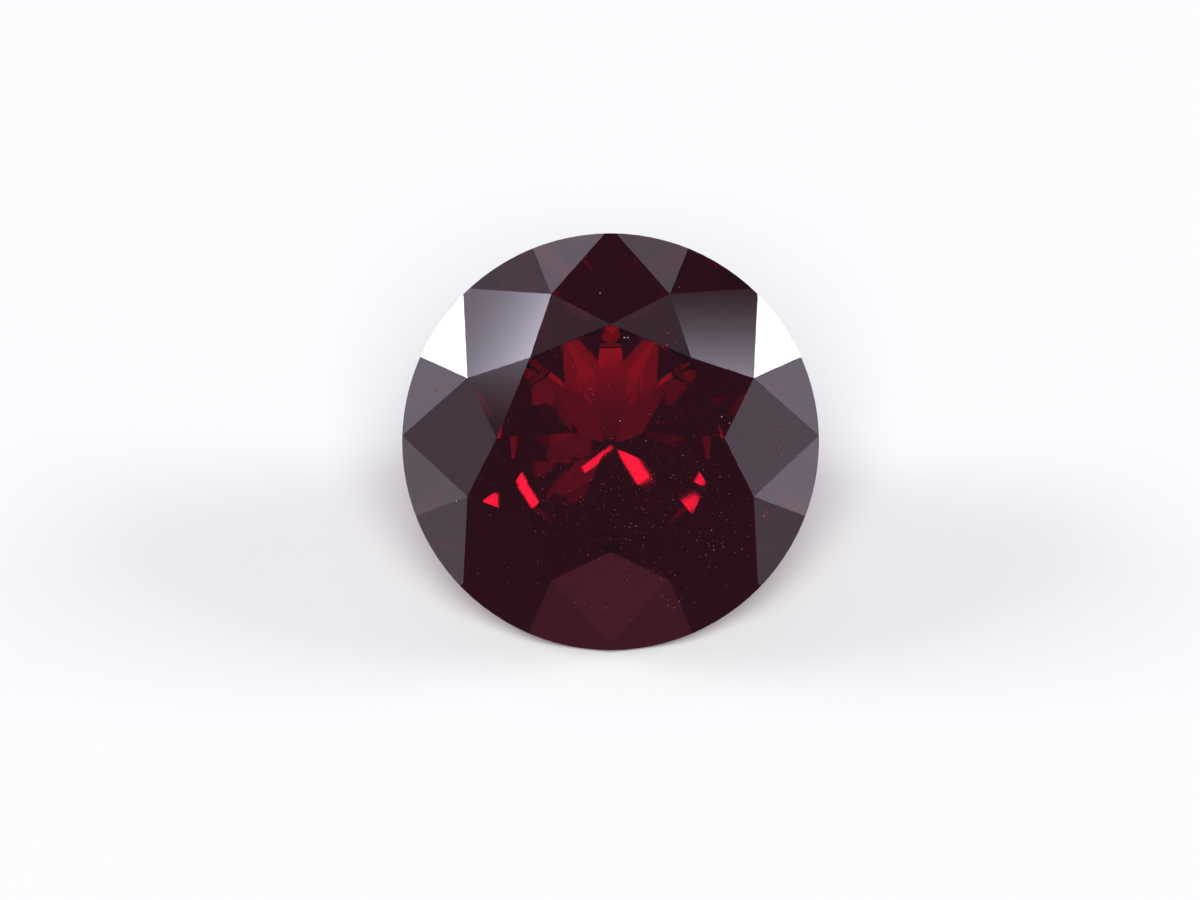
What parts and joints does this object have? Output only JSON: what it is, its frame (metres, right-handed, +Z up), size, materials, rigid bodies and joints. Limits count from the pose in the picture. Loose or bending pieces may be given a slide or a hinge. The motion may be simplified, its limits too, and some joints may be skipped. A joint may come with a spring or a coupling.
{
  "type": "cut garnet gemstone",
  "caption": "Dark red garnet cut as a round brilliant, lying loose on a facet of its pavilion; a clear faceted stone for a setting or a display.",
  "frame": {"origin": "on the surface that the stone lies on, below the middle of its box", "axes": "+Z up, -Y to the front, the side that the table faces; +X across the girdle"},
  "size_m": [0.008, 0.0064, 0.0051],
  "materials": {
    "garnet": "clear dark red, polished facets"
  },
  "bodies": {
    "root": {"garnet": "garnet"}
  },
  "joints": []
}
